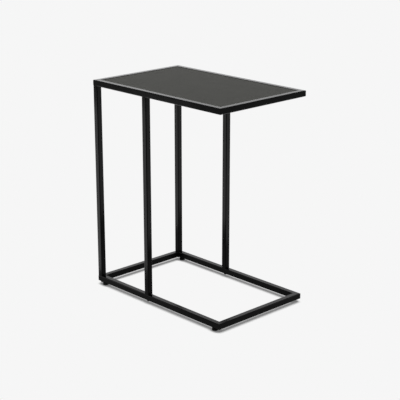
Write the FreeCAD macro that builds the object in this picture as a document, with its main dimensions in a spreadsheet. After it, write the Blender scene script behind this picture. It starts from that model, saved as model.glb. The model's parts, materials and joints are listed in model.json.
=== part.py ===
import FreeCAD
import Part
import Sketcher
import os

# A C-shaped side table: a panel set into a frame of square steel tube, four legs of the same tube
# crowded towards one end, and a base frame that slides under a seat. Lengths are in millimetres.
# +X runs from the closed end to the open end, +Y from front to back, +Z up from the floor.

SIZES = {
    # the whole table
    "table_length": 550.0,
    "table_width": 350.0,
    "table_height": 660.0,
    "leg_spacing": 224.0,
    # square steel tube, used for the top frame, the legs and the base
    "tube_side": 18.0,
    "tube_wall": 1.2,
    "tube_radius": 2.4,
    "tube_inner_radius": 1.2,
    "mitre_radius": 0.6,
    # panel set into the top frame, and the tabs that carry it
    "panel_thickness": 10.0,
    "panel_recess": 0.8,
    "panel_gap": 1.0,
    "panel_corner_radius": 1.5,
    "panel_edge_radius": 0.6,
    "tab_length": 30.0,
    "tab_reach": 22.0,
    "tab_thickness": 2.0,
    "tab_corner_radius": 4.0,
    "tab_hole_reach": 13.0,
    "tab_spacing": 290.0,
    # wood screw from each tab up into the panel
    "screw_diameter": 4.0,
    "screw_depth": 7.0,
    "screw_head_diameter": 8.0,
    "screw_head_height": 2.4,
    "screw_head_radius": 1.2,
    # bolt from below the base up into the threaded plug in each leg
    "bolt_diameter": 6.0,
    "bolt_grip": 12.0,
    "bolt_head_diameter": 10.5,
    "bolt_head_height": 3.3,
    "bolt_head_radius": 1.6,
    "bolt_socket_width": 4.0,
    "bolt_socket_depth": 2.0,
    "washer_diameter": 12.0,
    "washer_thickness": 1.2,
    "plug_height": 16.0,
    # levelling foot: moulded pad on a threaded stud, in a rivet nut set in the base
    "foot_gap": 2.0,
    "pad_diameter": 18.0,
    "pad_height": 7.8,
    "pad_rim_radius": 1.5,
    "pad_sole_radius": 0.8,
    "stud_diameter": 6.0,
    "stud_length": 12.0,
    "stud_embed": 6.0,
    "stud_chamfer": 0.6,
    "rivet_diameter": 9.0,
    "rivet_length": 11.0,
    "rivet_flange_width": 1.5,
    "rivet_flange_thickness": 1.0,
    "rivet_bulge": 0.6,
    "rivet_bulge_height": 3.0,
    # clearances, and how far cutting shapes run past what they cut
    "fit_clearance": 0.05,
    "hole_clearance": 0.3,
    "foot_seat_gap": 0.2,
    "cut_overrun": 5.0,
}

# corner of a regular hexagon, as a share of the width across its flats
HEXAGON_CORNER_SHARE = 0.57735

# sides of the table, seen from above: each looks a quarter turn further round than the one before
SIDES = ["front", "open_end", "back", "closed_end"]
QUARTER_TURN_DEGREES = 90

doc = FreeCAD.newDocument("CSideTable")
sheet = doc.addObject("Spreadsheet::Sheet", "Sizes")
for row, (alias, number) in enumerate(SIZES.items(), start=1):
    sheet.set(f"A{row}", alias)
    sheet.set(f"B{row}", str(number))
    sheet.setAlias(f"B{row}", alias)
doc.recompute()


class Size:
    """A length together with the sheet formula that gives it."""

    def __init__(self, formula, value):
        self.formula = formula
        self.value = value

    def __add__(self, other):
        return Size(f"({self.formula} + {other.formula})", self.value + other.value)

    def __sub__(self, other):
        return Size(f"({self.formula} - {other.formula})", self.value - other.value)

    def __mul__(self, factor):
        return Size(f"({self.formula} * {factor})", self.value * factor)

    def __truediv__(self, factor):
        return Size(f"({self.formula} / {factor})", self.value / factor)

    def __neg__(self):
        return self * -1


def cell(alias):
    """The size that a cell of the sheet holds."""
    return Size(f"Sizes.{alias}", float(sheet.get(alias)))


ZERO = Size("0", 0.0)


# Levels and places that several pieces share

length = cell("table_length")
width = cell("table_width")
height = cell("table_height")
tube = cell("tube_side")
wall = cell("tube_wall")
overrun = cell("cut_overrun")
fit = cell("fit_clearance")
loose = cell("hole_clearance")

base_bottom = cell("pad_height") + cell("foot_seat_gap") + cell("rivet_flange_thickness")
base_top = base_bottom + tube
top_bottom = height - tube
panel_bottom = height - cell("panel_recess") - cell("panel_thickness")
tab_bottom = panel_bottom - cell("tab_thickness")

rail_y = (width - tube) / 2
rail_x = (length - tube) / 2
corner_leg_x = -rail_x
inner_leg_x = corner_leg_x + cell("leg_spacing")
foot_step = (cell("washer_diameter") + cell("pad_diameter")) / 2 + cell("foot_gap")
foot_x = rail_x - foot_step
leg_places = {
    "front_corner": (corner_leg_x, -rail_y),
    "back_corner": (corner_leg_x, rail_y),
    "front_inner": (inner_leg_x, -rail_y),
    "back_inner": (inner_leg_x, rail_y),
}
foot_places = {
    "front_closed_end": (-foot_x, -rail_y),
    "back_closed_end": (-foot_x, rail_y),
    "front_open_end": (foot_x, -rail_y),
    "back_open_end": (foot_x, rail_y),
}


# Helpers: binding, sketches and features

def bind(owner, name, size):
    """Tie one property of an object to a sheet formula."""
    owner.setExpression(name, size.formula)


def place(part, x, y, z, side="front"):
    """Put a sub-part at a point, turned about the vertical so that its front looks to a side."""
    up = FreeCAD.Vector(0, 0, 1)
    turn = SIDES.index(side) * QUARTER_TURN_DEGREES
    part.Placement = FreeCAD.Placement(FreeCAD.Vector(), FreeCAD.Rotation(up, turn))
    for axis, size in (("x", x), ("y", y), ("z", z)):
        bind(part, f"Placement.Base.{axis}", size)


def new_body(label):
    """An empty body that will hold one piece."""
    body = doc.addObject("PartDesign::Body", label)
    body.Label = label
    return body


def new_sketch(body, name, plane):
    """A sketch on one of the body's own origin planes."""
    sketch = body.newObject("Sketcher::SketchObject", name)
    support = next(item for item in body.Origin.OriginFeatures if item.Role == plane)
    sketch.AttachmentSupport = [(support, "")]
    sketch.MapMode = "FlatFace"
    return sketch


def pin_point(sketch, geometry, point, x, y):
    """Hold a sketch point at x, y from the sketch's origin."""
    for kind, size in (("DistanceX", x), ("DistanceY", y)):
        index = sketch.addConstraint(Sketcher.Constraint(kind, -1, 1, geometry, point, size.value))
        bind(sketch, f"Constraints[{index}]", size)


def outline(sketch, corners):
    """Closed outline of straight sides through the given corners, each an x, y pair of sizes."""
    points = [FreeCAD.Vector(x.value, y.value, 0) for x, y in corners]
    first = sketch.GeometryCount
    for start, end in zip(points, points[1:] + points[:1]):
        sketch.addGeometry(Part.LineSegment(start, end))
    last = sketch.GeometryCount - 1
    for line in range(first, last):
        sketch.addConstraint(Sketcher.Constraint("Coincident", line, 2, line + 1, 1))
    sketch.addConstraint(Sketcher.Constraint("Coincident", last, 2, first, 1))
    for line, (x, y) in enumerate(corners, start=first):
        pin_point(sketch, line, 1, x, y)


def rectangle(sketch, across, along):
    """Rectangle centred on the sketch's origin."""
    half_across = across / 2
    half_along = along / 2
    outline(sketch, [
        (-half_across, -half_along),
        (half_across, -half_along),
        (half_across, half_along),
        (-half_across, half_along),
    ])


def circle(sketch, x, y, diameter):
    """Circle of a given diameter about x, y."""
    centre = FreeCAD.Vector(x.value, y.value, 0)
    normal = FreeCAD.Vector(0, 0, 1)
    index = sketch.addGeometry(Part.Circle(centre, normal, diameter.value / 2))
    pin_point(sketch, index, 3, x, y)
    size = sketch.addConstraint(Sketcher.Constraint("Diameter", index, diameter.value))
    bind(sketch, f"Constraints[{size}]", diameter)


def pad(body, sketch, thickness, symmetric=False):
    """Extrude a sketch along its normal."""
    feature = body.newObject("PartDesign::Pad", f"{sketch.Name}Pad")
    feature.Profile = sketch
    bind(feature, "Length", thickness)
    if symmetric:
        feature.SideType = "Symmetric"
    doc.recompute()
    return feature


def pocket(body, sketch, depth=None, both_ways=False, upwards=False):
    """Cut a sketch out of the body: to a depth, or right through when no depth is given."""
    before = body.Shape.Volume
    feature = body.newObject("PartDesign::Pocket", f"{sketch.Name}Cut")
    feature.Profile = sketch
    feature.Reversed = upwards
    if both_ways:
        feature.SideType = "Symmetric"
    if depth is None:
        feature.Type = "ThroughAll"
    else:
        bind(feature, "Length", depth)
    doc.recompute()
    if not feature.Shape.Volume < before:
        raise RuntimeError(f"{feature.Name} cuts nothing")
    return feature


def revolve(body, sketch):
    """Turn a half section about the sketch's upright axis."""
    feature = body.newObject("PartDesign::Revolution", f"{sketch.Name}Turn")
    feature.Profile = sketch
    feature.ReferenceAxis = (sketch, ["V_Axis"])
    doc.recompute()
    return feature


def soften(body, kind, size_name, size, picked):
    """Fillet or chamfer the edges of the body's last feature that the test picks."""
    base = body.Tip
    names = [f"Edge{number}" for number, edge in enumerate(base.Shape.Edges, start=1) if picked(edge)]
    if not names:
        raise RuntimeError(f"{body.Label}: no edge to soften")
    feature = body.newObject(f"PartDesign::{kind}", f"{body.Name}{kind}")
    feature.Base = (base, names)
    bind(feature, size_name, size)
    doc.recompute()
    return feature


def runs_along(edge, axis):
    """True for a straight edge parallel to an axis, given by its number: X 0, Y 1, Z 2."""
    if edge.Curve.TypeId != "Part::GeomLine":
        return False
    return abs(abs(edge.Curve.Direction[axis]) - 1) < edge.Tolerance


def on_level(edge, z):
    """True for an edge that lies all in the level plane at z."""
    box = edge.BoundBox
    return abs(box.ZMin - z.value) < fit.value and abs(box.ZMax - z.value) < fit.value


def rim_circle(edge, radius, z):
    """True for a circular edge of a radius on a level."""
    if edge.Curve.TypeId != "Part::GeomCircle":
        return False
    return abs(edge.Curve.Radius - radius.value) < fit.value and on_level(edge, z)


# Square tube: a hollow square section with rounded edges, for rails and legs

def square_tube(label, plane, run_axis, tube_length, symmetric):
    """A straight piece of tube, extruded from its section; run_axis is the number of its long axis."""
    body = new_body(label)
    section = new_sketch(body, f"{label}_section", plane)
    rectangle(section, tube, tube)
    bore = tube - wall * 2
    rectangle(section, bore, bore)
    pad(body, section, tube_length, symmetric)
    across_axis = 1 if run_axis == 0 else 0

    def outer(edge):
        reach = abs(edge.CenterOfMass[across_axis])
        return runs_along(edge, run_axis) and reach > (bore / 2 + wall / 2).value

    def inner(edge):
        reach = abs(edge.CenterOfMass[across_axis])
        return runs_along(edge, run_axis) and reach < (bore / 2 + fit).value

    soften(body, "Fillet", "Radius", cell("tube_radius"), outer)
    soften(body, "Fillet", "Radius", cell("tube_inner_radius"), inner)
    return body


def mitre_sketch(body, rail_length):
    """Waste at one end of a rail: beyond the mitre line, and outside the rounded corner."""
    sketch = new_sketch(body, f"{body.Name}_mitre", "XY_Plane")
    radius = cell("mitre_radius")
    end = rail_length / 2
    outer_face = -tube / 2
    inner_face = tube / 2
    tangent_x = end - radius
    centre_y = outer_face + radius
    diagonal = 0.5 ** 0.5
    centre = FreeCAD.Vector(tangent_x.value, centre_y.value, 0)
    corner = centre + FreeCAD.Vector(diagonal, -diagonal, 0) * radius.value
    past_inner = (end - tube - overrun, inner_face + overrun)
    waste = [
        past_inner,
        (end + overrun, inner_face + overrun),
        (end + overrun, outer_face - overrun),
        (tangent_x, outer_face - overrun),
    ]
    points = [FreeCAD.Vector(x.value, y.value, 0) for x, y in waste]
    points.append(FreeCAD.Vector(tangent_x.value, outer_face.value, 0))
    chain = [Part.LineSegment(corner, points[0])]
    chain += [Part.LineSegment(start, stop) for start, stop in zip(points, points[1:])]
    for line in chain:
        sketch.addGeometry(line)
    round_normal = FreeCAD.Vector(0, 0, 1)
    whole = Part.Circle(centre, round_normal, radius.value)
    arc = sketch.addGeometry(Part.ArcOfCircle(whole, whole.parameter(points[-1]), whole.parameter(corner)))
    for line in range(arc - 1):
        sketch.addConstraint(Sketcher.Constraint("Coincident", line, 2, line + 1, 1))
        x, y = waste[line]
        pin_point(sketch, line, 2, x, y)
    sketch.addConstraint(Sketcher.Constraint("Coincident", arc - 1, 2, arc, 1))
    sketch.addConstraint(Sketcher.Constraint("Coincident", arc, 2, 0, 1))
    pin_point(sketch, arc, 3, tangent_x, centre_y)
    pin_point(sketch, arc - 1, 2, tangent_x, outer_face)
    sketch.addConstraint(Sketcher.Constraint("PointOnObject", arc, 3, 0))
    return sketch


def mitred_rail(label, rail_length):
    """One side of a welded frame, along X with its outer face towards -Y, mitred at both ends."""
    body = square_tube(label, "YZ_Plane", 0, rail_length, True)
    cut = pocket(body, mitre_sketch(body, rail_length), both_ways=True)
    mirrored = body.newObject("PartDesign::Mirrored", f"{label}_far_mitre")
    mirrored.Originals = [cut]
    middle = next(item for item in body.Origin.OriginFeatures if item.Role == "YZ_Plane")
    mirrored.MirrorPlane = (middle, [""])
    body.Tip = mirrored
    doc.recompute()
    return body


def drill_rail(body, bolt_xs, foot_xs):
    """Bolt holes through both walls of a base rail, and rivet nut holes in its lower wall."""
    if bolt_xs:
        holes = new_sketch(body, f"{body.Name}_bolt_holes", "XY_Plane")
        for x in bolt_xs:
            circle(holes, x, ZERO, cell("bolt_diameter") + loose * 2)
        pocket(body, holes, both_ways=True)
    if foot_xs:
        holes = new_sketch(body, f"{body.Name}_foot_holes", "XY_Plane")
        for x in foot_xs:
            circle(holes, x, ZERO, cell("rivet_diameter") + fit * 2)
        pocket(body, holes)


# Top frame and base frame: four mitred rails each

rail_sides = {
    "front": (length, ZERO, -rail_y),
    "back": (length, ZERO, rail_y),
    "closed_end": (width, -rail_x, ZERO),
    "open_end": (width, rail_x, ZERO),
}
bolt_xs = {
    "front": [corner_leg_x, inner_leg_x],
    "back": [-corner_leg_x, -inner_leg_x],
    "closed_end": [-rail_y, rail_y],
    "open_end": [],
}
foot_xs = {"front": [-foot_x, foot_x], "back": [-foot_x, foot_x], "closed_end": [], "open_end": []}

parts = []
for side, (rail_length, x, y) in rail_sides.items():
    rail = mitred_rail(f"top_rail_{side}", rail_length)
    place(rail, x, y, height - tube / 2, side)
    parts.append(rail)
for side, (rail_length, x, y) in rail_sides.items():
    rail = mitred_rail(f"base_rail_{side}", rail_length)
    drill_rail(rail, bolt_xs[side], foot_xs[side])
    place(rail, x, y, base_bottom + tube / 2, side)
    parts.append(rail)


# Legs: plain lengths of tube between the base and the top frame

for name, (x, y) in leg_places.items():
    leg = square_tube(f"leg_{name}", "XY_Plane", 2, top_bottom - base_top, False)
    place(leg, x, y, base_top)
    parts.append(leg)


# Panel, set down into the top frame on six tabs

inner_length = length - tube * 2
inner_width = width - tube * 2
tab_y = inner_width / 2
tab_x = inner_length / 2
half_tab_spacing = cell("tab_spacing") / 2
tab_places = [
    (-half_tab_spacing, -tab_y, "front"),
    (half_tab_spacing, -tab_y, "front"),
    (-half_tab_spacing, tab_y, "back"),
    (half_tab_spacing, tab_y, "back"),
    (-tab_x, ZERO, "closed_end"),
    (tab_x, ZERO, "open_end"),
]
hole_reach = cell("tab_hole_reach")
screw_y = tab_y - hole_reach
screw_x = tab_x - hole_reach
screw_places = [
    (-half_tab_spacing, -screw_y),
    (half_tab_spacing, -screw_y),
    (-half_tab_spacing, screw_y),
    (half_tab_spacing, screw_y),
    (-screw_x, ZERO),
    (screw_x, ZERO),
]


def top_panel():
    """Board with eased edges and a blind pilot hole over each tab; its origin is on its underside."""
    body = new_body("top_panel")
    board = new_sketch(body, "board", "XY_Plane")
    margin = cell("panel_gap") * 2
    thickness = cell("panel_thickness")
    rectangle(board, inner_length - margin, inner_width - margin)
    pad(body, board, thickness)
    soften(body, "Fillet", "Radius", cell("panel_corner_radius"), lambda edge: runs_along(edge, 2))
    soften(body, "Fillet", "Radius", cell("panel_edge_radius"), lambda edge: on_level(edge, thickness))
    pilots = new_sketch(body, "pilot_holes", "XY_Plane")
    for x, y in screw_places:
        circle(pilots, x, y, cell("screw_diameter") + fit * 2)
    pocket(body, pilots, cell("screw_depth") + fit, upwards=True)
    place(body, ZERO, ZERO, panel_bottom)
    return body


def tab_plate():
    """Welded tab: a plate that reaches in from a rail, with rounded free corners and a screw hole."""
    body = new_body("tab_plate")
    plate = new_sketch(body, "plate", "XY_Plane")
    half_length = cell("tab_length") / 2
    reach = cell("tab_reach")
    outline(plate, [(-half_length, ZERO), (half_length, ZERO), (half_length, reach), (-half_length, reach)])
    circle(plate, ZERO, hole_reach, cell("screw_diameter") + loose * 2)
    pad(body, plate, cell("tab_thickness"))

    def free_corner(edge):
        return runs_along(edge, 2) and edge.CenterOfMass.y > hole_reach.value

    soften(body, "Fillet", "Radius", cell("tab_corner_radius"), free_corner)
    return body


def panel_screw():
    """Pan head screw, its origin under the head where that meets the tab."""
    body = new_body("panel_screw")
    section = new_sketch(body, "screw_half", "XZ_Plane")
    shank = cell("screw_diameter") / 2
    head = cell("screw_head_diameter") / 2
    tip = cell("tab_thickness") + cell("screw_depth")
    crown = -cell("screw_head_height")
    outline(section, [(ZERO, crown), (head, crown), (head, ZERO), (shank, ZERO), (shank, tip - shank), (ZERO, tip)])
    revolve(body, section)
    soften(body, "Fillet", "Radius", cell("screw_head_radius"), lambda edge: rim_circle(edge, head, crown))
    return body


# Base bolts with their washers, and the threaded plugs in the legs

def leg_plug():
    """Square threaded plug that fills the lower end of a leg."""
    body = new_body("leg_plug")
    block = new_sketch(body, "block", "XY_Plane")
    side = tube - wall * 2 - fit * 2
    rectangle(block, side, side)
    circle(block, ZERO, ZERO, cell("bolt_diameter") + fit * 2)
    pad(body, block, cell("plug_height"))
    soften(body, "Chamfer", "Size", cell("tube_inner_radius"), lambda edge: runs_along(edge, 2))
    return body


def base_bolt():
    """Button head bolt with a hexagon socket, its origin under the head where that meets the washer."""
    body = new_body("base_bolt")
    section = new_sketch(body, "bolt_half", "XZ_Plane")
    shank = cell("bolt_diameter") / 2
    head = cell("bolt_head_diameter") / 2
    tip = cell("washer_thickness") + tube + cell("bolt_grip")
    crown = -cell("bolt_head_height")
    outline(section, [(ZERO, crown), (head, crown), (head, ZERO), (shank, ZERO), (shank, tip), (ZERO, tip)])
    revolve(body, section)
    soften(body, "Fillet", "Radius", cell("bolt_head_radius"), lambda edge: rim_circle(edge, head, crown))
    socket = new_sketch(body, "socket", "XY_Plane")
    flat = cell("bolt_socket_width") / 2
    corner = cell("bolt_socket_width") * HEXAGON_CORNER_SHARE
    half_corner = corner / 2
    outline(socket, [
        (corner, ZERO),
        (half_corner, flat),
        (-half_corner, flat),
        (-corner, ZERO),
        (-half_corner, -flat),
        (half_corner, -flat),
    ])
    socket.AttachmentOffset = FreeCAD.Placement()
    bind(socket, "AttachmentOffset.Base.z", crown)
    pocket(body, socket, cell("bolt_socket_depth"), upwards=True)
    return body


def washer():
    """Flat ring between a bolt head and the base."""
    body = new_body("washer")
    ring = new_sketch(body, "ring", "XY_Plane")
    circle(ring, ZERO, ZERO, cell("washer_diameter"))
    circle(ring, ZERO, ZERO, cell("bolt_diameter") + loose * 2)
    pad(body, ring, cell("washer_thickness"))
    return body


# Levelling feet

def rivet_nut():
    """Threaded insert set in the base's lower wall: flange below, bulge above. Origin under the flange."""
    body = new_body("rivet_nut")
    section = new_sketch(body, "nut_half", "XZ_Plane")
    bore = cell("stud_diameter") / 2 + fit
    barrel = cell("rivet_diameter") / 2
    flange = barrel + cell("rivet_flange_width")
    bulge = barrel + cell("rivet_bulge")
    seat = cell("rivet_flange_thickness")
    grip_top = seat + wall
    bulge_top = grip_top + cell("rivet_bulge_height")
    top = seat + cell("rivet_length")
    outline(section, [
        (bore, ZERO),
        (flange, ZERO),
        (flange, seat),
        (barrel, seat),
        (barrel, grip_top),
        (bulge, grip_top),
        (bulge, bulge_top),
        (barrel, bulge_top),
        (barrel, top),
        (bore, top),
    ])
    revolve(body, section)
    return body


def foot_pad(name):
    """Moulded pad with a rounded rim and sole, and a socket for the stud."""
    body = new_body(f"foot_pad_{name}")
    section = new_sketch(body, f"{body.Name}_half", "XZ_Plane")
    rim = cell("pad_diameter") / 2
    top = cell("pad_height")
    socket = cell("stud_diameter") / 2 + fit
    socket_floor = top - cell("stud_embed")
    outline(section, [
        (ZERO, ZERO),
        (rim, ZERO),
        (rim, top),
        (socket, top),
        (socket, socket_floor),
        (ZERO, socket_floor),
    ])
    revolve(body, section)
    soften(body, "Fillet", "Radius", cell("pad_rim_radius"), lambda edge: rim_circle(edge, rim, top))
    soften(body, "Fillet", "Radius", cell("pad_sole_radius"), lambda edge: rim_circle(edge, rim, ZERO))
    return body


def foot_stud(name):
    """Threaded stud, moulded into the pad at its lower end."""
    body = new_body(f"foot_stud_{name}")
    rod = new_sketch(body, f"{body.Name}_section", "XY_Plane")
    circle(rod, ZERO, ZERO, cell("stud_diameter"))
    rod_length = cell("stud_embed") + cell("stud_length")
    pad(body, rod, rod_length)
    soften(body, "Chamfer", "Size", cell("stud_chamfer"), lambda edge: on_level(edge, rod_length))
    return body


def group(label, piece, places):
    """Identical pieces in one node: a copy of the piece at each place, kept as separate solids."""
    copies = []
    for number, (x, y, z, side) in enumerate(places, start=1):
        copy = doc.addObject("App::Link", f"{label}_{number}")
        copy.LinkedObject = piece
        place(copy, x, y, z, side)
        copies.append(copy)
    compound = doc.addObject("Part::Compound", label)
    compound.Label = label
    compound.Links = copies
    return compound


def at_level(places, z):
    """The x, y places of a set of pieces, all on one level and unturned."""
    return [(x, y, z, "front") for x, y in places]


parts.append(top_panel())
parts.append(group("panel_tabs", tab_plate(), [(x, y, tab_bottom, side) for x, y, side in tab_places]))
parts.append(group("panel_screws", panel_screw(), at_level(screw_places, tab_bottom)))
parts.append(group("leg_plugs", leg_plug(), at_level(leg_places.values(), base_top)))
washer_bottom = base_bottom - cell("washer_thickness")
parts.append(group("base_bolts", base_bolt(), at_level(leg_places.values(), washer_bottom)))
parts.append(group("base_washers", washer(), at_level(leg_places.values(), washer_bottom)))
flange_bottom = base_bottom - cell("rivet_flange_thickness")
parts.append(group("foot_rivet_nuts", rivet_nut(), at_level(foot_places.values(), flange_bottom)))
for name, (x, y) in foot_places.items():
    sole = foot_pad(name)
    place(sole, x, y, ZERO)
    parts.append(sole)
    stud = foot_stud(name)
    place(stud, x, y, cell("pad_height") - cell("stud_embed"))
    parts.append(stud)


# Check every object, then write one file for each sub-part

doc.recompute()
for item in doc.Objects:
    if "Invalid" in item.State or "Error" in item.State:
        raise RuntimeError(f"{item.Name} failed: {item.State}")
for part in parts:
    if part.Shape.isNull() or not part.Shape.isValid():
        raise RuntimeError(f"{part.Label} has no valid shape")

os.makedirs("parts", exist_ok=True)
for part in parts:
    part.Shape.exportStep(f"parts/{part.Label}.step")
    print(f"{part.Label}: {len(part.Shape.Solids)} solid, {part.Shape.Volume:.0f} mm3")
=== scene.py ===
# %% [markdown]
# # A C-shaped side table
# Two welded frames of square steel tube, a top and a base, are joined by four legs that crowd to one end,
# so that the base slides under a seat and the top reaches over it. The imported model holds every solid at
# its real size and place. This lesson gives each surface its finish, and adds what is too fine for the
# solids: weld beads, a cross recess in each screw, grips on the feet and the threads that they turn on.

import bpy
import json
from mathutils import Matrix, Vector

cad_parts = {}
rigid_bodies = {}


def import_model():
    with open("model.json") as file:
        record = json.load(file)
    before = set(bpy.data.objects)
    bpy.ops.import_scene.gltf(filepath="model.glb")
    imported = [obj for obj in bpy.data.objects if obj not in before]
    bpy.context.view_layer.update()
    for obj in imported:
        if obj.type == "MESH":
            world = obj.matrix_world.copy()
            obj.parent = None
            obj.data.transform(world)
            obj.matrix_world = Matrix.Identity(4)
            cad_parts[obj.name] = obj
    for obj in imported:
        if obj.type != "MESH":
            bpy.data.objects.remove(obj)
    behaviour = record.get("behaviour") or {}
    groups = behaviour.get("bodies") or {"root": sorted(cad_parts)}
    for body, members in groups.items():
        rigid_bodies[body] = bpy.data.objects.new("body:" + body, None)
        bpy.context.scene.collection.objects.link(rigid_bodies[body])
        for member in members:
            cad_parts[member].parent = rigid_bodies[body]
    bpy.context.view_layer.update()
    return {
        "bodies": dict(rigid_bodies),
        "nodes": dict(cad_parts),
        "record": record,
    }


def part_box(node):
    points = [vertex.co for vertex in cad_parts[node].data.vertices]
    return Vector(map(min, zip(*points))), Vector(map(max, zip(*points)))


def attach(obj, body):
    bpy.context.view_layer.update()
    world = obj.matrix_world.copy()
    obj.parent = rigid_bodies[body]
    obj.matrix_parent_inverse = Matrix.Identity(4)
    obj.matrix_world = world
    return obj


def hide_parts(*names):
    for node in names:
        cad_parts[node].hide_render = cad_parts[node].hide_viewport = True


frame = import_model()
print("nodes in the packed model:", len(frame["nodes"]))

# %% [markdown]
# ## Camera
# The photograph was taken from far off with a long lens, a little above the table and facing its near
# corner. The angles, distance and lens here were fitted so that the dark outline of the table covers the
# same part of the picture. A camera could be placed by three coordinates and aimed by a constraint. A turn,
# a height angle and a distance from the point that it looks at say more plainly where it stands.

# %% Camera at the photograph's viewing angle
from math import cos, radians, sin

import bpy
from mathutils import Vector

CAMERA_TURN = radians(46.35)
CAMERA_RISE = radians(17.28)
CAMERA_DISTANCE = 3.554
CAMERA_AIM = Vector((0.0056, 0.0060, 0.3021))
LENS_MM = 104.5
SENSOR_MM = 36.0

scene = bpy.context.scene
scene.view_settings.view_transform = "Standard"
level = cos(CAMERA_RISE)
towards_camera = Vector((sin(CAMERA_TURN) * level, -cos(CAMERA_TURN) * level, sin(CAMERA_RISE)))
camera = bpy.data.objects.new("camera", bpy.data.cameras.new("camera"))
camera.data.lens = LENS_MM
camera.data.sensor_width = SENSOR_MM
camera.location = CAMERA_AIM + towards_camera * CAMERA_DISTANCE
camera.rotation_euler = (-towards_camera).to_track_quat("-Z", "Y").to_euler()
scene.collection.objects.link(camera)
scene.camera = camera
print("camera stands at", [round(value, 3) for value in camera.location])

# %% [markdown]
# ## Light
# The table stands in an even white studio, with no hard shadow anywhere. Lamps alone could light it, but
# would leave bright spots on the tube, so a white dome gives the light. The dome is told apart from what
# the eye sees: rays from the camera, from gloss and through glass meet the pale backdrop instead, so the
# background keeps its tone whatever the dome does.

# %% White dome with a pale backdrop
DOME_LIGHT = 1.0
PALE = 0.922


def seen_ray(nodes, links):
    """1 for a ray that sees the background: from the camera, off a glossy skin or through glass."""
    ray = nodes.new("ShaderNodeLightPath")
    seen = ray.outputs["Is Camera Ray"]
    for kind in ("Is Glossy Ray", "Is Transmission Ray"):
        either = nodes.new("ShaderNodeMath")
        either.operation = "MAXIMUM"
        links.new(seen, either.inputs[0])
        links.new(ray.outputs[kind], either.inputs[1])
        seen = either.outputs["Value"]
    return seen


world = bpy.data.worlds.new("studio")
scene.world = world
world.use_nodes = True
dome_nodes, dome_links = world.node_tree.nodes, world.node_tree.links
light = dome_nodes["Background"]
light.inputs["Strength"].default_value = DOME_LIGHT
light.inputs["Color"].default_value = (1.0, 1.0, 1.0, 1.0)
backdrop = dome_nodes.new("ShaderNodeBackground")
backdrop.inputs["Color"].default_value = (PALE, PALE, PALE, 1.0)
choice = dome_nodes.new("ShaderNodeMixShader")
dome_links.new(seen_ray(dome_nodes, dome_links), choice.inputs["Fac"])
dome_links.new(light.outputs["Background"], choice.inputs[1])
dome_links.new(backdrop.outputs["Background"], choice.inputs[2])
dome_links.new(choice.outputs["Shader"], dome_nodes["World Output"].inputs["Surface"])
print("dome light", DOME_LIGHT, "seen as", PALE)

# %% [markdown]
# ## Soft boxes
# Black tube shows little but reflections, so soft boxes just outside the view draw its faces. The one
# behind is mirrored by the level faces, which look pale. One on the left leans back from the floor like a
# reflector card. The fronts of the legs mirror it over nearly their whole height, but it ends too low for
# the top frame, whose fronts stay black. A fainter one on the right does the same for the legs' other
# faces.

# %% Soft boxes behind, left and right
from math import pi


def soft_box(name, place, aim, width, height, glow):
    """Rectangular lamp at a place, facing a point; glow is its brightness, where 1 is white. The camera
    doesn't see it."""
    lamp = bpy.data.lights.new(name, "AREA")
    lamp.shape = "RECTANGLE"
    lamp.size = width
    lamp.size_y = height
    lamp.energy = glow * pi * width * height
    stand = bpy.data.objects.new(name, lamp)
    stand.location = place
    stand.rotation_euler = (Vector(aim) - Vector(place)).to_track_quat("-Z", "Y").to_euler()
    stand.visible_camera = False
    scene.collection.objects.link(stand)
    return stand


soft_boxes = [
    soft_box("back_soft_box", place=(-1.16, 1.10, 0.70), aim=(0.0, 0.0, 0.70),
             width=2.2, height=0.92, glow=1.15),
    soft_box("left_soft_box", place=(-0.596, -0.366, 0.223), aim=(-0.32, -0.104, 0.686),
             width=0.61, height=0.686, glow=3.5),
    soft_box("right_soft_box", place=(0.40, 0.552, 0.212), aim=(0.122, 0.288, 0.674),
             width=0.65, height=0.65, glow=2.3),
]
print("soft boxes:", [box.name for box in soft_boxes])

# %% [markdown]
# ## Floor
# The floor is one large pale square, far wider than the view, of the same tone as the backdrop. Only close
# under the base rails is a shadow painted into its tone for the eye: a narrow strip, where the dome's own
# shadow would be wide and faint. An ambient occlusion node works the painted shadow out from the solids
# within a finger's width of each floor point. It looks up at a lean, towards the soft box behind, so the
# painted shadow falls forwards a little and leaves a pale line along the rail. The feet screw downwards out
# of the base, so the floor has to lie under whichever foot reaches lowest: a constraint for each foot holds
# it there.

# %% Pale floor under the lowest foot
FLOOR_REACH = 60.0
# How far the painted shadow under the rails reaches, how it leans towards the soft box behind, and how dark
# it gets.
CONTACT_REACH = 0.016
LIGHT_LEAN = radians(26)
SKY_AT_DARKEST, SKY_AT_PALEST = 0.5, 0.87
DARKEST_SHARE = 0.21
FEET = ["front_closed_end", "back_closed_end", "front_open_end", "back_open_end"]


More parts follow.
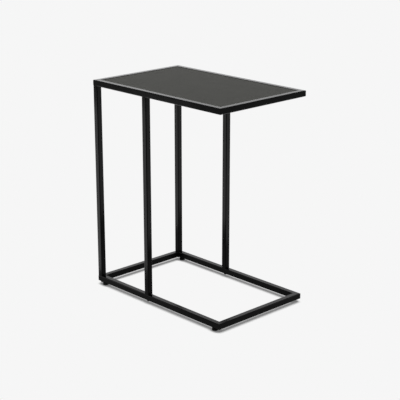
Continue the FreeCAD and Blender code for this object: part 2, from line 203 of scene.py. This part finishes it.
def floor_finish_and_painted_shadow():
    """Pale floor: plain matt paint for light. For the eye, a shadow is painted into its tone: the tone
    falls with the share of its sky that something close by hides, to about a fifth under the middle of a
    rail."""
    finish = bpy.data.materials.new("pale_floor")
    finish.use_nodes = True
    nodes, links = finish.node_tree.nodes, finish.node_tree.links
    paint = nodes["Principled BSDF"]
    paint.inputs["Base Color"].default_value = (PALE, PALE, PALE, 1.0)
    paint.inputs["Roughness"].default_value = 1.0
    paint.inputs["Specular IOR Level"].default_value = 0.0
    sky = nodes.new("ShaderNodeAmbientOcclusion")
    sky.inputs["Distance"].default_value = CONTACT_REACH
    lean = nodes.new("ShaderNodeCombineXYZ")
    backwards = sin(LIGHT_LEAN) * Vector((-1.0, 1.0, 0.0)).normalized()
    for axis, value in zip("XYZ", (backwards.x, backwards.y, cos(LIGHT_LEAN))):
        lean.inputs[axis].default_value = value
    links.new(lean.outputs["Vector"], sky.inputs["Normal"])
    shade = nodes.new("ShaderNodeMapRange")
    shade.inputs["From Min"].default_value = SKY_AT_DARKEST
    shade.inputs["From Max"].default_value = SKY_AT_PALEST
    shade.inputs["To Min"].default_value = DARKEST_SHARE
    links.new(sky.outputs["AO"], shade.inputs["Value"])
    # Painted shadow: the emission's strength, and so the floor's tone for the eye, falls under the rails.
    tone = nodes.new("ShaderNodeEmission")
    tone.inputs["Color"].default_value = (PALE, PALE, PALE, 1.0)
    links.new(shade.outputs["Result"], tone.inputs["Strength"])
    choice = nodes.new("ShaderNodeMixShader")
    links.new(seen_ray(nodes, links), choice.inputs["Fac"])
    links.new(paint.outputs["BSDF"], choice.inputs[1])
    links.new(tone.outputs["Emission"], choice.inputs[2])
    links.new(choice.outputs["Shader"], nodes["Material Output"].inputs["Surface"])
    return finish


def pale_floor():
    """Flat square about the origin, with a constraint that keeps it from rising past each foot."""
    mesh = bpy.data.meshes.new("floor")
    corners = [(-1, -1, 0), (1, -1, 0), (1, 1, 0), (-1, 1, 0)]
    mesh.from_pydata([Vector(corner) * FLOOR_REACH for corner in corners], [], [(0, 1, 2, 3)])
    mesh.materials.append(floor_finish_and_painted_shadow())
    floor = bpy.data.objects.new("floor", mesh)
    scene.collection.objects.link(floor)
    for foot in FEET:
        hold = floor.constraints.new("FLOOR")
        hold.target = frame["bodies"][f"foot_{foot}"]
        hold.floor_location = "FLOOR_NEGATIVE_Z"
    return floor


floor = pale_floor()
print("floor reaches", FLOOR_REACH, "m each way, held by", len(floor.constraints), "feet")

# %% [markdown]
# ## How a finish is put together
# Every finish is one Principled shader. What is the same all over, such as gloss, is set straight on the
# shader. What varies comes from noise. A pattern could be painted on a picture, but noise that reads Object
# coordinates, which here are metres in the table's own frame, has a grain of real size on every piece.

# %% Helpers for a finish
NOISE_LOW, NOISE_HIGH = 0.3, 0.7


def new_finish(name, constants):
    """Material with one Principled shader, and the constants set on the shader's own sockets."""
    finish = bpy.data.materials.new(name)
    finish.use_nodes = True
    shader = finish.node_tree.nodes["Principled BSDF"]
    for socket, value in constants.items():
        shader.inputs[socket].default_value = value
    return finish, shader


def grain(finish, lump, detail=2.0):
    """Noise in Object coordinates, with lumps of about the given width in metres; returns its output."""
    nodes, links = finish.node_tree.nodes, finish.node_tree.links
    place = nodes.new("ShaderNodeTexCoord")
    noise = nodes.new("ShaderNodeTexNoise")
    noise.inputs["Scale"].default_value = 1.0 / lump
    noise.inputs["Detail"].default_value = detail
    links.new(place.outputs["Object"], noise.inputs["Vector"])
    return noise.outputs["Fac"]


def spread(finish, source, low, high):
    """Stretches the middle part of a noise over a range of numbers."""
    ranged = finish.node_tree.nodes.new("ShaderNodeMapRange")
    ranged.inputs["From Min"].default_value = NOISE_LOW
    ranged.inputs["From Max"].default_value = NOISE_HIGH
    ranged.inputs["To Min"].default_value = low
    ranged.inputs["To Max"].default_value = high
    finish.node_tree.links.new(source, ranged.inputs["Value"])
    return ranged.outputs["Result"]


def tint(finish, source, dark, light):
    """Colour that runs from dark to light with a noise."""
    ramp = finish.node_tree.nodes.new("ShaderNodeValToRGB")
    first, last = ramp.color_ramp.elements
    first.position, last.position = NOISE_LOW, NOISE_HIGH
    first.color = (*dark, 1.0)
    last.color = (*light, 1.0)
    finish.node_tree.links.new(source, ramp.inputs["Fac"])
    return ramp.outputs["Color"]


def relief(finish, source, depth):
    """Bump of the given depth in metres."""
    bump = finish.node_tree.nodes.new("ShaderNodeBump")
    bump.inputs["Distance"].default_value = depth
    finish.node_tree.links.new(source, bump.inputs["Height"])
    return bump.outputs["Normal"]


MM = 0.001
finishes = {}
print("noise is used between", NOISE_LOW, "and", NOISE_HIGH)

# %% [markdown]
# ## Powder coat
# The tube is black and dull when looked at squarely, yet its level faces turn grey where the eye skims
# over them: a smooth-skinned but fine-grained coat that mirrors the white room only at a low angle. A clear
# layer over black would shine when looked at squarely too. So there is one layer: a low specular level
# keeps the steep faces black, and the shader's own Fresnel does the brightening.

# %% Powder coat on all the tube
def powder_coat():
    """Near-black coat with a fine orange-peel skin and faint differences in gloss."""
    finish, shader = new_finish("satin_black_powder_coat", {"Specular IOR Level": 0.042})
    link = finish.node_tree.links.new
    peel = grain(finish, lump=0.9 * MM, detail=3.0)
    cloud = grain(finish, lump=35 * MM)
    link(tint(finish, cloud, [0.0008] * 3, [0.0016] * 3), shader.inputs["Base Color"])
    link(spread(finish, cloud, 0.18, 0.23), shader.inputs["Roughness"])
    link(relief(finish, peel, 0.02 * MM), shader.inputs["Normal"])
    return finish


finishes["powder_coat"] = powder_coat()
print("finish:", finishes["powder_coat"].name)

# %% [markdown]
# ## Panel laminate
# The panel is a shade lighter than the tube and has no shine: charcoal laminate with a pebbled skin. Much
# laminate has a printed pattern, but this one is plain, so noise is enough: fine pebbles in its gloss and
# skin, and a slow cloud in its tone.

# %% Charcoal laminate on the panel
def charcoal_laminate():
    """Warm dark grey with fine pebbles and a slow, faint cloud of tone."""
    finish, shader = new_finish("matt_charcoal_laminate", {"Specular IOR Level": 0.05})
    link = finish.node_tree.links.new
    pebble = grain(finish, lump=0.7 * MM)
    cloud = grain(finish, lump=60 * MM, detail=4.0)
    tone = tint(finish, cloud, (0.0465, 0.0465, 0.0418), (0.0525, 0.0525, 0.0472))
    link(tone, shader.inputs["Base Color"])
    link(spread(finish, pebble, 0.62, 0.74), shader.inputs["Roughness"])
    link(relief(finish, pebble, 0.04 * MM), shader.inputs["Normal"])
    return finish


finishes["panel_laminate"] = charcoal_laminate()
print("finish:", finishes["panel_laminate"].name)

# %% [markdown]
# ## Moulded plastic and steel
# The foot pads are moulded with a spark-textured skin, the bolts and washers are blackened steel, and the
# hidden screws, studs and rivet nuts are bright zinc, slightly cloudy as plating is. The tube's black could
# serve for the dark ones, but from below they lie side by side with it, and each has its own gloss.

# %% Foot plastic, black steel and zinc
def moulded_plastic():
    """Black plastic with the fine pitted skin of a textured mould."""
    finish, shader = new_finish("moulded_black_plastic", {"Specular IOR Level": 0.05})
    link = finish.node_tree.links.new
    pits = grain(finish, lump=0.35 * MM)
    link(tint(finish, pits, [0.0015] * 3, [0.003] * 3), shader.inputs["Base Color"])
    link(spread(finish, pits, 0.45, 0.6), shader.inputs["Roughness"])
    link(relief(finish, pits, 0.03 * MM), shader.inputs["Normal"])
    return finish


def clouded_metal(name, lump, dark, light, smooth, rough):
    """Metal whose tone and gloss vary together with one noise."""
    finish, shader = new_finish(name, {"Metallic": 1.0})
    link = finish.node_tree.links.new
    patch = grain(finish, lump, detail=3.0)
    link(tint(finish, patch, dark, light), shader.inputs["Base Color"])
    link(spread(finish, patch, smooth, rough), shader.inputs["Roughness"])
    return finish


finishes["foot_plastic"] = moulded_plastic()
finishes["black_steel"] = clouded_metal(
    "black_oxide_steel", 3 * MM, (0.018, 0.018, 0.019), (0.032, 0.032, 0.033), smooth=0.28, rough=0.45)
finishes["zinc_steel"] = clouded_metal(
    "bright_zinc_plate", 2 * MM, (0.50, 0.51, 0.52), (0.62, 0.63, 0.65), smooth=0.22, rough=0.38)
print("finishes so far:", sorted(finishes))

# %% [markdown]
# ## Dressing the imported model
# The pieces could be dressed one by one. The record already says which finish each node wears, so one loop
# over it dresses them all and forgets none.

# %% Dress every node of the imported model
for row in frame["record"]["subparts"]:
    for material_slot in frame["nodes"][row["node"]].material_slots:
        material_slot.material = finishes[row["material_slot"]]

# %% [markdown]
# ## Surfaces from grids of points
# The fine pieces that follow could be spun or cut with modifiers, but the waves on them couldn't. So they
# are surfaces worked out as whole arrays: a grid whose rows are rings, one after another along the piece.
# Neighbouring rings are joined by four-sided faces. A round piece ends in a fan of triangles at each end,
# and a hoop has no ends, since its last ring is joined to its first.

# %% Helpers that skin a grid and make a piece of it
import numpy as np

SHARP_EDGE = radians(40)


def skin(grid, hoop=False):
    """Points, quads and end triangles of a closed surface whose rows are rings, each row wound so that its
    direction crossed with the step to the next row points outwards."""
    rows, columns = grid.shape[:2]
    numbers = np.arange(rows * columns).reshape(rows, columns)
    steps = np.vstack([numbers, numbers[:1]]) if hoop else numbers
    beside = np.roll(steps, -1, axis=1)
    quads = np.stack([steps[:-1], beside[:-1], beside[1:], steps[1:]], axis=-1).reshape(-1, 4)
    points = grid.reshape(-1, 3)
    if hoop:
        return points, quads, np.zeros((0, 3), int)
    start, end = np.full(columns, rows * columns), np.full(columns, rows * columns + 1)
    fans = np.vstack([
        np.stack([start, beside[0], steps[0]], axis=-1),
        np.stack([end, steps[-1], beside[-1]], axis=-1),
    ])
    return np.vstack([points, grid[[0, -1]].mean(axis=1)]), quads, fans


def turned(radius, height, angle, middle):
    """Grid of a section turned about an upright axis through a point: x and y are the radius times the
    cosine and the sine of the angle."""
    sides = radius * np.cos(angle), radius * np.sin(angle), height
    return np.stack(np.broadcast_arrays(*sides), axis=-1) + middle


def make_piece(name, skins, slot, body):
    """One object out of several skins, smooth except at sharp edges, that rides on a body."""
    first = np.cumsum([0] + [len(points) for points, quads, fans in skins])
    all_points = np.vstack([points for points, quads, fans in skins])
    all_quads = np.vstack([quads + shift for (points, quads, fans), shift in zip(skins, first)])
    all_fans = np.vstack([fans + shift for (points, quads, fans), shift in zip(skins, first)])
    mesh = bpy.data.meshes.new(name)
    mesh.from_pydata(all_points, [], all_quads.tolist() + all_fans.tolist())
    mesh.shade_smooth()
    mesh.set_sharp_from_angle(angle=SHARP_EDGE)
    mesh.materials.append(finishes[slot])
    piece = bpy.data.objects.new(name, mesh)
    scene.collection.objects.link(piece)
    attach(piece, body)
    return piece


points, quads, fans = skin(np.zeros((3, 4, 3)))
print("3 rings of 4 points give", len(quads), "quads and", len(fans), "end triangles")

# %% [markdown]
# ## Welds
# Each leg is welded under the top frame, and so is each tab that carries the panel. A weld could be a bump
# in the coat, but a bead fills its corner and shows in outline. A fillet weld is a string of small
# overlapping pools, so its bead is a section between flat and round, carried along the corner with a
# ripple, and rounded off at its two ends.

# %% One weld bead
DOWN = np.array([0.0, 0.0, -1.0])
BEAD_POWER = 1.4
BEAD_SINK = 0.2 * MM
RIPPLE_PITCH, RIPPLE_SWELL, RIPPLE_BOW = 1.5 * MM, 0.08, 1.2
END_POWER, BLUNT_END = 8, 1.02
ROWS_PER_RIPPLE, SECTION_POINTS = 12, 9


def weld_bead(corner, outward, length, size):
    """Bead in the corner between a level face above and an upright face behind. The section's radius is
    size / (cos^p + sin^p)^(1/p) with p 1.4, between the flat of p 1 and the round of p 2. Along the bead
    the section swells and sinks by a cosine of the distance. It falls away as the root of 1.02 - t^8,
    where t runs from -1 to 1 along the bead."""
    along = np.cross(outward, DOWN)
    t = np.linspace(-1.0, 1.0, ROWS_PER_RIPPLE * round(length / RIPPLE_PITCH) + 1)[:, None]
    angle = np.linspace(0.0, np.pi / 2, SECTION_POINTS)
    radius = size * (np.cos(angle) ** BEAD_POWER + np.sin(angle) ** BEAD_POWER) ** (-1 / BEAD_POWER)
    wave = np.cos(np.pi * t * length / RIPPLE_PITCH + RIPPLE_BOW * np.sin(2 * angle))
    radius = radius * (1.0 + RIPPLE_SWELL * wave) * np.sqrt(BLUNT_END - t ** END_POWER)
    away = np.hstack([radius * np.cos(angle), np.full_like(t, -BEAD_SINK)])
    below = np.hstack([radius * np.sin(angle), np.full_like(t, -BEAD_SINK)])
    run = np.repeat(t * length / 2, away.shape[1], axis=1)
    return skin(corner + run[..., None] * along + away[..., None] * outward + below[..., None] * DOWN)


half_way = 2 ** (0.5 - 1 / BEAD_POWER)
print("the bead half way round its section, where flat is 0.707 and round is 1:", round(half_way, 3))

# %% [markdown]
# The panel rests on six tabs, small plates welded inside the top frame, and a bead runs along the corner
# under each. The beads could be placed by hand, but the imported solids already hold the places: the inner
# faces of two rails and the underside of the tabs. The rails across from those two mirror them.

# %% Six beads under the panel's tabs
TAB_BEAD = 1.5 * MM
TAB_BEAD_LENGTH = 24 * MM
TAB_OFFSET = 145 * MM

inner_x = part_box("top_rail_open_end")[0].x
inner_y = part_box("top_rail_back")[0].y
tab_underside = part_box("panel_tabs")[0].z
tab_corners = [
    ((-TAB_OFFSET, -inner_y), (0, 1)),
    ((TAB_OFFSET, -inner_y), (0, 1)),
    ((-TAB_OFFSET, inner_y), (0, -1)),
    ((TAB_OFFSET, inner_y), (0, -1)),
    ((-inner_x, 0.0), (1, 0)),
    ((inner_x, 0.0), (-1, 0)),
]
tab_skins = [
    weld_bead(np.array([*corner, tab_underside]), np.array([*inward, 0.0]), TAB_BEAD_LENGTH, TAB_BEAD)
    for corner, inward in tab_corners
]
tab_welds = make_piece("tab_welds", tab_skins, "powder_coat", "frame")
print("tab welds:", len(tab_skins), "beads,", len(tab_welds.data.vertices), "points")

# %% [markdown]
# The rails have rounded edges, so a leg that butts against one leaves a small notch along its flush sides.
# On the real frame weld metal fills that notch and is ground level. A plain block could fill it, but would
# stick out at the leg's rounded corners. So the fill is a hoop of four-cornered section that follows the
# leg's outline just inside its faces.

# %% Welds at the top of each leg
LEG_BEAD = 2.0 * MM
LEG_BEAD_LENGTH = 13 * MM
EDGE_RADIUS = 2.4 * MM
FILL_DEPTH = np.array([0.05, 0.05, 1.3, 1.3]) * MM
FILL_HEIGHT = np.array([2.2, -0.3, -0.3, 0.5]) * MM
ARC_POINTS = 7


def notch_fill(middle, half_side):
    """Hoop round a leg's outline, a square whose corners are quarter circles. Each section corner is set
    by its depth behind the leg's face and its height above the rail's underside."""
    corner = np.arange(4)
    arc = np.linspace(0.0, np.pi / 2, ARC_POINTS)
    turn = (corner[:, None] * np.pi / 2 + arc).reshape(-1, 1)
    quarter = np.repeat(corner, ARC_POINTS)[:, None] * np.pi / 2 + np.pi / 4
    centre = np.sqrt(2.0) * (half_side - EDGE_RADIUS)
    x = centre * np.cos(quarter) + (EDGE_RADIUS - FILL_DEPTH) * np.cos(turn)
    y = centre * np.sin(quarter) + (EDGE_RADIUS - FILL_DEPTH) * np.sin(turn)
    z = np.broadcast_to(FILL_HEIGHT, x.shape)
    return skin(np.stack([x, y, z], axis=-1) + middle, hoop=True)


def leg_weld(leg, sides):
    """Notch fill all round the leg's top, and a bead on each side where the rail runs on."""
    low, high = (np.array(corner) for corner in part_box(f"leg_{leg}"))
    half_side = (high[0] - low[0]) / 2
    middle = np.array([(low[0] + high[0]) / 2, (low[1] + high[1]) / 2, high[2]])
    skins = [notch_fill(middle, half_side)]
    for side in sides:
        outward = np.array([*side, 0.0])
        skins.append(weld_bead(middle + half_side * outward, outward, LEG_BEAD_LENGTH, LEG_BEAD))
    return make_piece(f"weld_{leg}", skins, "powder_coat", "frame")


leg_sides = {
    "front_corner": [(1, 0), (0, 1)],
    "back_corner": [(1, 0), (0, -1)],
    "front_inner": [(1, 0), (-1, 0)],
    "back_inner": [(1, 0), (-1, 0)],
}
leg_welds = [leg_weld(leg, sides) for leg, sides in leg_sides.items()]
print("leg welds:", [len(weld.data.vertices) for weld in leg_welds], "points")

# %% [markdown]
# ## Feet
# Each foot is a moulded pad turned by hand, so its side has shallow finger grips, and its sole is hollowed
# so that it stands on a ring. Grips cut one by one would leave ragged faces. Here the pad is a half section
# turned about the foot's axis, and the grips are a wave in the angle that fades out towards the rim and the
# sole.

# %% Foot pads with grips, the section in millimetres
GRIPS, GRIP_DEPTH = 28, 0.3 * MM
GRIP_START, GRIP_END = 1.0, 1.7
SOLE_ROUND, RIM_ROUND = 0.8, 1.5
STAND_RING, RING_SLOPE, SOLE_HOLLOW = 2.4, 0.6, 0.7
DIMPLE_RADIUS, HUB_RADIUS, HUB_DRAFT, HUB_HOLLOW = 0.6, 1.5, 0.1, 0.5
SOCKET_RADIUS, SOCKET_EDGE = 3.2, 0.2
SIDE_POINTS, COLUMNS_PER_GRIP = 14, 8


def foot_pad(foot):
    """Section of sole, side and rim, turned about the axis; the side's radius is lessened by a raised
    cosine of the angle, times a window in height that is 1 along the side and 0 at its ends."""
    low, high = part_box(f"foot_pad_{foot}")
    radius, top = (high.x - low.x) / 2 / MM, (high.z - low.z) / MM
    arc = np.linspace(0.0, np.pi / 2, ARC_POINTS)
    sole = [
        [DIMPLE_RADIUS, HUB_HOLLOW],
        [HUB_RADIUS, HUB_HOLLOW],
        [HUB_RADIUS + HUB_DRAFT, SOLE_HOLLOW],
        [radius - STAND_RING - RING_SLOPE, SOLE_HOLLOW],
        [radius - STAND_RING, 0.0],
    ]
    lower_r, lower_z = radius - SOLE_ROUND * (1 - np.sin(arc)), SOLE_ROUND * (1 - np.cos(arc))
    side_r, side_z = np.full(SIDE_POINTS, radius), np.linspace(GRIP_START, top - GRIP_END, SIDE_POINTS)
    upper_r, upper_z = radius - RIM_ROUND * (1 - np.cos(arc)), top - RIM_ROUND * (1 - np.sin(arc))
    rounds_r, rounds_z = np.hstack([lower_r, side_r, upper_r]), np.hstack([lower_z, side_z, upper_z])
    rounds = np.stack([rounds_r, rounds_z], axis=1)
    socket = [[SOCKET_RADIUS + SOCKET_EDGE, top], [SOCKET_RADIUS, top - SOCKET_EDGE]]
    r, z = np.vstack([sole, rounds, socket]).T[:, :, None]
    angle = np.linspace(0.0, 2 * np.pi, COLUMNS_PER_GRIP * GRIPS, endpoint=False)
    window = np.clip(z - GRIP_START, 0, 1) * np.clip(top - GRIP_END - z, 0, 1)
    gripped = r * MM - GRIP_DEPTH * window * (0.5 + 0.5 * np.cos(GRIPS * angle))
    return skin(turned(gripped, z * MM, angle, [(low.x + high.x) / 2, (low.y + high.y) / 2, low.z]))


for foot in FEET:
    pad = make_piece(f"grip_pad_{foot}", [foot_pad(foot)], "foot_plastic", f"foot_{foot}")
    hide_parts(f"foot_pad_{foot}")
print("foot pads:", len(FEET), "with", len(pad.data.vertices), "points each")

# %% [markdown]
# The stud that a foot turns on is an M6 screw. A screw modifier could wind its thread, but would leave open
# ends to close. Here the thread is one surface: the radius at any point is a wave in the height less the
# share of a turn, so that the wave climbs by one pitch in each turn.

# %% Threaded studs
THREAD_PITCH = 1.0 * MM
THREAD_DEPTH = 0.6 * MM
STUD_TIP = 0.6 * MM
ROWS_PER_PITCH, STUD_COLUMNS = 10, 40


def foot_stud(foot):
    """Radius = outer radius less the thread's depth times a raised cosine of 2 pi (z / pitch - turn), and
    never more than the cone of the tip."""
    low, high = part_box(f"foot_stud_{foot}")
    outer = (high.x - low.x) / 2
    z = np.linspace(low.z, high.z, ROWS_PER_PITCH * round((high.z - low.z) / THREAD_PITCH))[:, None]
    angle = np.linspace(0.0, 2 * np.pi, STUD_COLUMNS, endpoint=False)
    r = outer - THREAD_DEPTH * (0.5 + 0.5 * np.cos(2 * np.pi * z / THREAD_PITCH - angle))
    r = np.minimum(r, outer - np.clip(STUD_TIP - (high.z - z), 0.0, STUD_TIP))
    return skin(turned(r, z, angle, [(low.x + high.x) / 2, (low.y + high.y) / 2, 0.0]))


for foot in FEET:
    stud = make_piece(f"thread_stud_{foot}", [foot_stud(foot)], "zinc_steel", f"foot_{foot}")
    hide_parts(f"foot_stud_{foot}")
print("studs:", len(FEET), "with", len(stud.data.vertices), "points each")

# %% [markdown]
# ## Panel screws
# Six pan head screws hold the panel down on its tabs. Their heads show from below, each with a cross for
# the driver. The cross could be cut out of the head. Pressing it into a grid keeps the head one clean
# surface: the face is lifted wherever a point lies near one of the two arms.

# %% Screws with a cross recess, in millimetres
HEAD_RADIUS, HEAD_HEIGHT, HEAD_ROUND = 4.0, 2.4, 1.2
SHANK_RADIUS, SHANK_LENGTH = 2.0, 9.0
ARM_HALF, ARM_REACH, CROSS_DEPTH = 0.42, 2.3, 1.3
ARM_WALL, ARM_END, CROSS_SLOPE_SHARE = 0.12, 0.3, 0.3
AXIS_HOLE, FACE_BAND = 0.05, 0.01
FACE_RINGS, SCREW_COLUMNS = 30, 96


def panel_screw(x, y, z):
    """Half section of head, shank and tip turned about the axis, in millimetres from under the head. In
    the face, height is raised by the cross's depth times how far a point is inside an arm."""
    arc = np.linspace(0.0, np.pi / 2, ARC_POINTS)
    flat = HEAD_RADIUS - HEAD_ROUND
    face_r, face_z = np.linspace(AXIS_HOLE, flat, FACE_RINGS), np.full(FACE_RINGS, -HEAD_HEIGHT)
    rim_r, rim_z = flat + HEAD_ROUND * np.sin(arc), -HEAD_HEIGHT + HEAD_ROUND * (1 - np.cos(arc))
    head = np.stack([np.hstack([face_r, rim_r]), np.hstack([face_z, rim_z])], axis=1)
    shank = [
        [HEAD_RADIUS, 0.0],
        [SHANK_RADIUS, 0.0],
        [SHANK_RADIUS, SHANK_LENGTH - SHANK_RADIUS],
        [AXIS_HOLE, SHANK_LENGTH],
    ]
    r, height = np.vstack([head, shank]).T[:, :, None]
    angle = np.linspace(0.0, 2 * np.pi, SCREW_COLUMNS, endpoint=False)
    off_arm = np.minimum(abs(r * np.cos(angle)), abs(r * np.sin(angle)))
    inside = np.clip((ARM_HALF - off_arm) / ARM_WALL, 0, 1) * np.clip((ARM_REACH - r) / ARM_END, 0, 1)
    on_face = height < -HEAD_HEIGHT + FACE_BAND
    lift = CROSS_DEPTH * inside * on_face * (1 - CROSS_SLOPE_SHARE * r / ARM_REACH)
    return skin(turned(r * MM, (height + lift) * MM, angle, [x, y, z]))


SCREW_REACH = 13 * MM
screw_skins = [
    panel_screw(*(np.array(corner) + SCREW_REACH * np.array(inward)), tab_underside)
    for corner, inward in tab_corners
]
screws = make_piece("cross_screws", screw_skins, "zinc_steel", "frame")
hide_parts("panel_screws")
print("screws:", len(screw_skins), "with", len(screws.data.vertices), "points in all")

# %% [markdown]
# ## Size
# The dressed table must not grow past the imported model. The two could be compared by eye, but a box round
# each is surer.

# %% Size
import json
